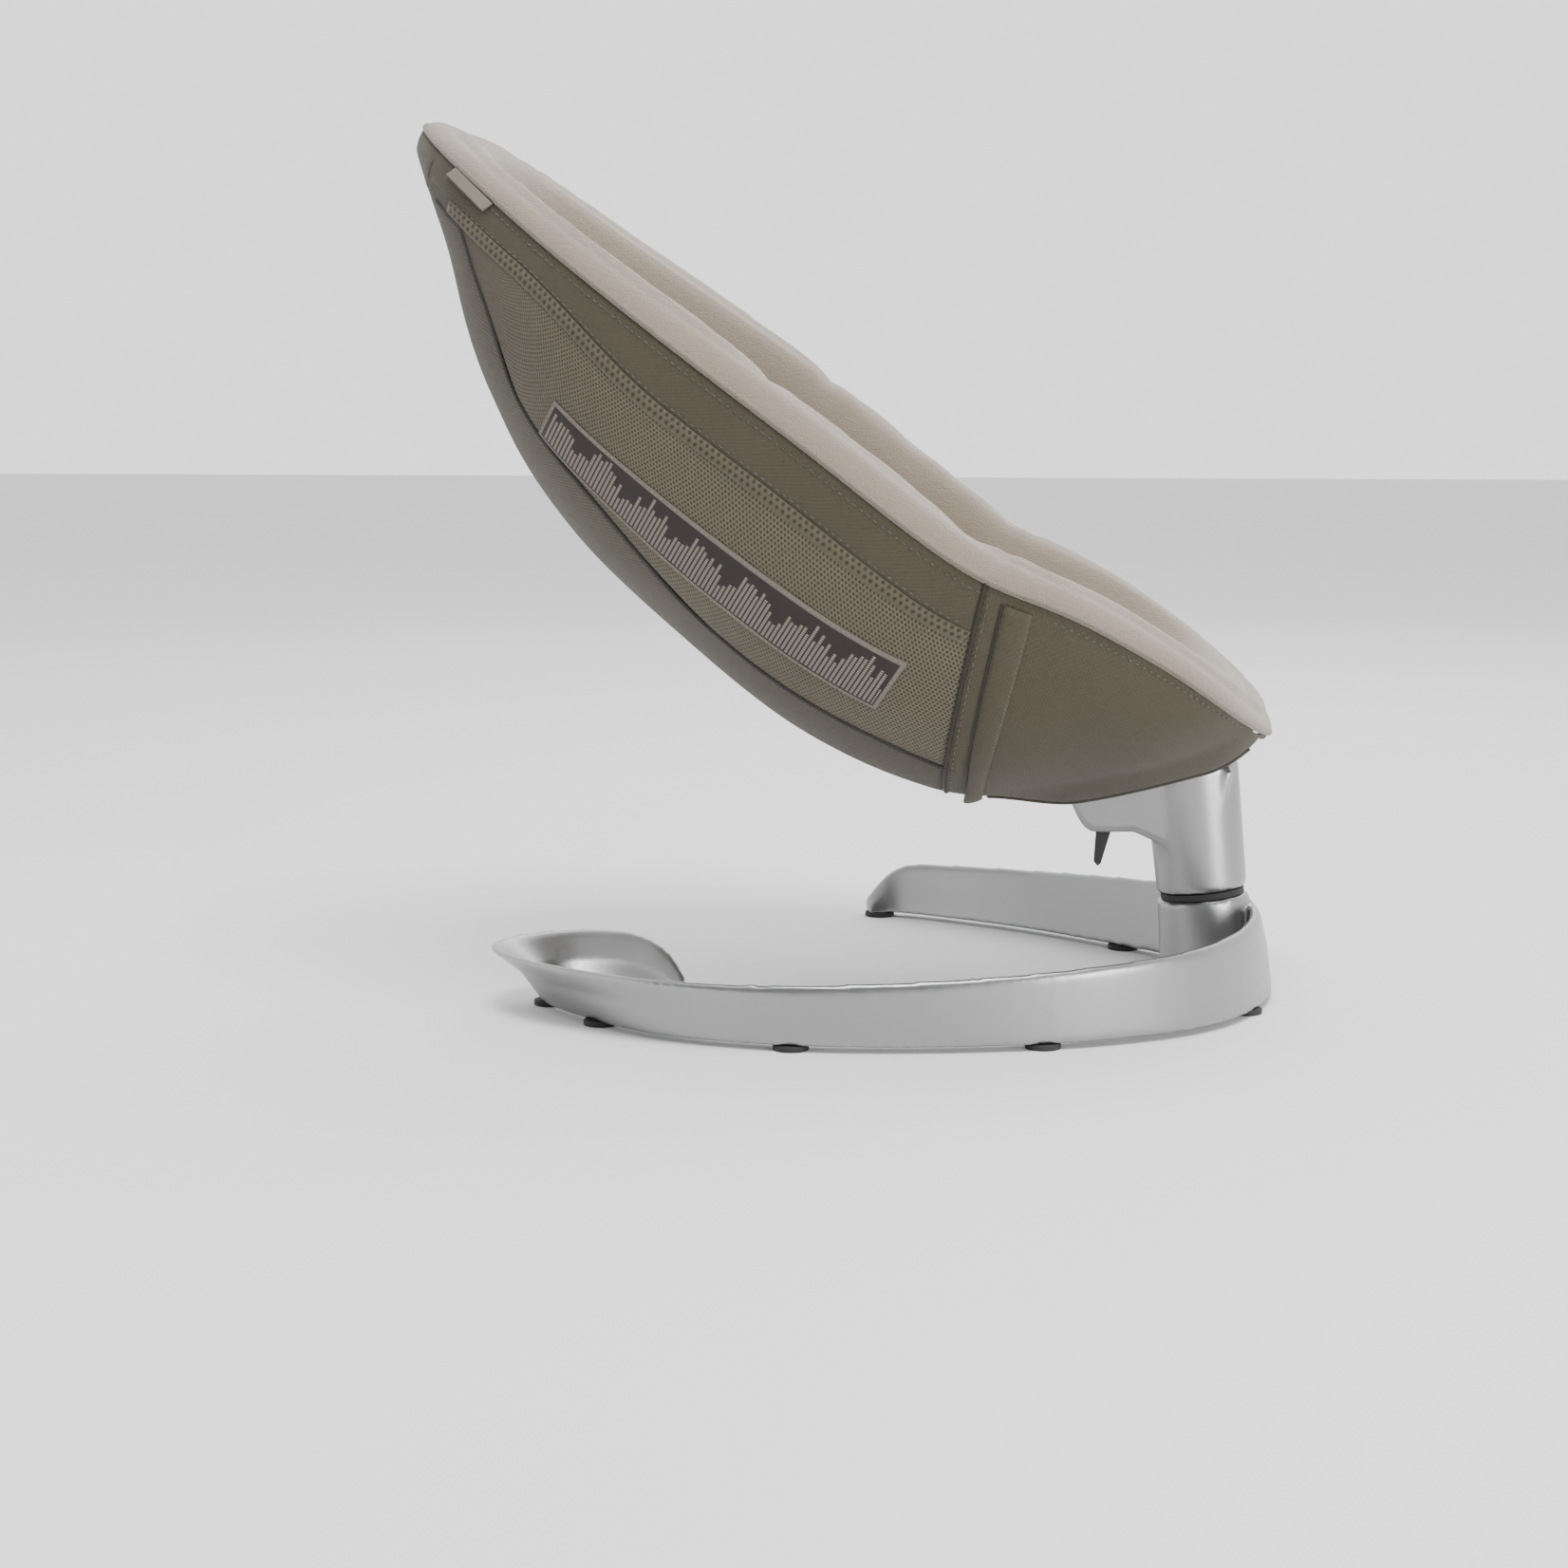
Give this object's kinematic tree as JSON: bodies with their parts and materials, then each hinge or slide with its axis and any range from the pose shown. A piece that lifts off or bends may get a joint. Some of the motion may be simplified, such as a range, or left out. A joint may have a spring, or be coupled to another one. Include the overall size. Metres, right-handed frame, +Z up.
{
  "type": "bouncer seat",
  "caption": "Baby bouncer: leaf-shaped padded sling seat with a mesh side, on a cast leg that swivels on an open curled ribbon base, with a recline lever and a harness buckle.",
  "frame": {"origin": "on the floor, under the middle of the whole object's box", "axes": "+X points to the foot end, where the leg stands, +Y across the seat, +Z up; the XZ plane is the seat's middle plane"},
  "size_m": [0.6518, 0.551, 0.6512],
  "materials": {
    "cast_aluminium": "satin, painted silver",
    "tube_aluminium": "drawn, satin",
    "steel": "zinc plated",
    "bearing_plastic": "acetal",
    "black_rubber": "matt",
    "black_plastic": "fine moulded grain",
    "button_plastic": "moulded",
    "liner_fabric": "fine plain weave, padded",
    "side_fabric": "plain weave",
    "mesh_fabric": "open spacer mesh",
    "label_fabric": "woven patch with plain pale bars",
    "tab_fabric": "folded woven tab",
    "webbing": "woven webbing"
  },
  "bodies": {
    "base": {"base_casting": "cast_aluminium", "rubber_feet": "black_rubber", "foot_screws": "steel", "lower_bush": "bearing_plastic", "upper_bush": "bearing_plastic", "thrust_washer": "bearing_plastic", "joint_seal": "black_rubber", "socket_plug": "black_plastic"},
    "leg": {"leg_casting": "cast_aluminium", "swivel_shaft": "steel", "stop_pin": "steel", "end_washer": "steel", "shaft_circlip": "steel", "recline_pin": "steel", "lever_pin": "steel", "lever_spring": "steel"},
    "lever": {"release_lever": "black_plastic"},
    "seat": {"seat_hub": "black_plastic", "hub_bushes": "bearing_plastic", "head_tube": "tube_aluminium", "foot_tube": "tube_aluminium", "tube_couplers": "tube_aluminium", "cross_bar": "tube_aluminium", "frame_saddles": "black_plastic", "saddle_screws": "steel", "liner_pad": "liner_fabric", "side_band_left": "side_fabric", "side_band_right": "side_fabric", "mesh_sling": "mesh_fabric", "foot_cover": "side_fabric", "seam_strip": "side_fabric", "side_label": "label_fabric", "fabric_tab": "tab_fabric", "crotch_strap": "webbing", "waist_straps": "webbing", "buckle_body": "black_plastic", "buckle_tongues": "black_plastic", "button_spring": "steel"},
    "button": {"buckle_button": "button_plastic"}
  },
  "joints": [
    {"name": "swivel", "type": "hinge", "parent": "base", "child": "leg", "pos_m": [0.272, 0, 0.07], "axis": [-0.1097, 0, 0.994], "range_deg": [-25, 25]},
    {"name": "recline", "type": "hinge", "parent": "leg", "child": "seat", "pos_m": [0.222, 0, 0.156], "axis": [0, -1, 0], "range_deg": [0, 20]},
    {"name": "lever_pull", "type": "hinge", "parent": "leg", "child": "lever", "pos_m": [0.195, 0, 0.131], "axis": [0, 1, 0], "range_deg": [0, 8], "stiffness_Nm_per_rad": 0.4, "springref_deg": -17.19},
    {"name": "button_press", "type": "slide", "parent": "seat", "child": "button", "axis": [-0.5779, 0, -0.8161], "range_m": [0, 0.0025], "stiffness_N_per_m": 900, "springref_m": -0.002, "deforming": ["button_spring"]}
  ]
}
